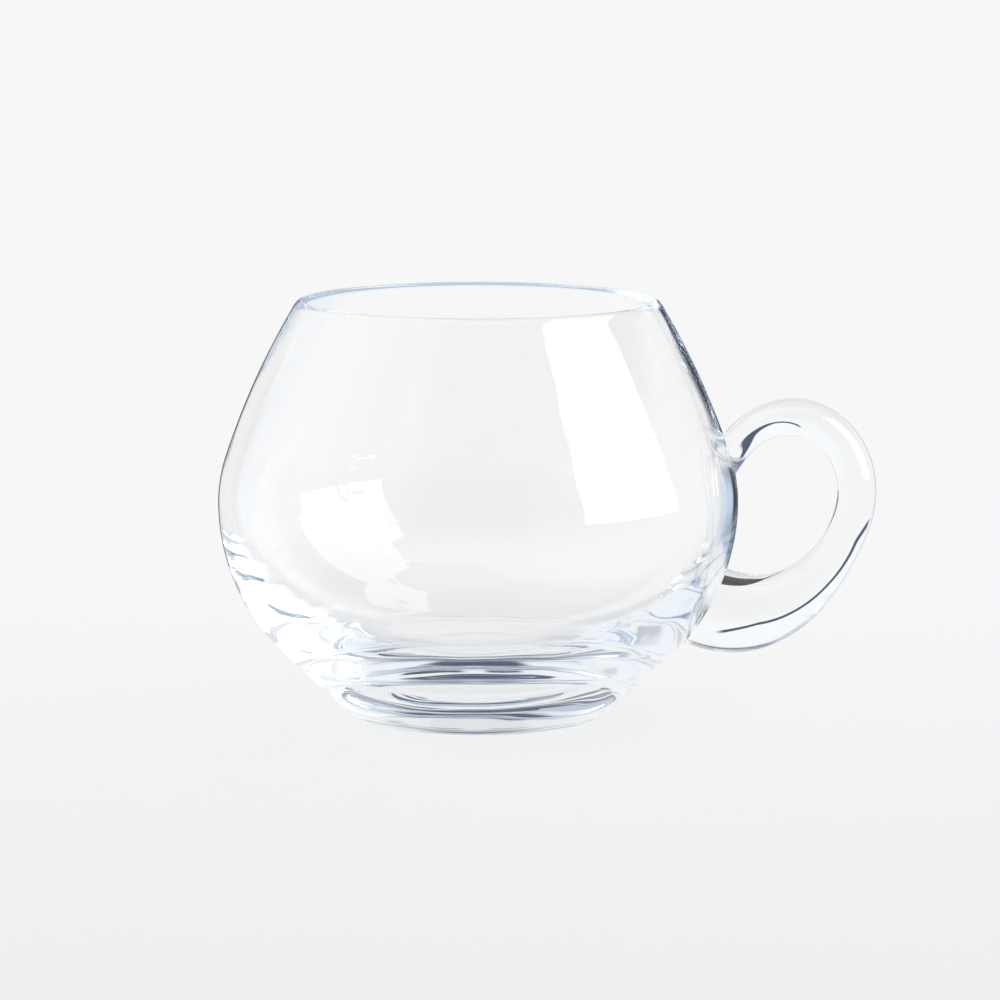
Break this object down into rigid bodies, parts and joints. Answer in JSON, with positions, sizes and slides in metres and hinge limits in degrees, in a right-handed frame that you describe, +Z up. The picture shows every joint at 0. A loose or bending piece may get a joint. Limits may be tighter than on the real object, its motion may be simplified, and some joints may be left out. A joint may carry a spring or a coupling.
{
  "type": "punch cup",
  "caption": "Clear blown-glass punch cup: a round bowl that narrows to a plain lip, a thick solid base with a flat foot, and a drawn loop handle fused to its side.",
  "frame": {"origin": "centre of the flat foot, on the surface that the cup stands on", "axes": "+Z up along the bowl's own axis, +X towards the handle, so the handle's loop lies in the XZ plane"},
  "size_m": [0.1127, 0.089, 0.072],
  "materials": {
    "clear_glass": "clear polished glass"
  },
  "bodies": {
    "root": {"bowl": "clear_glass", "handle": "clear_glass"}
  },
  "joints": []
}
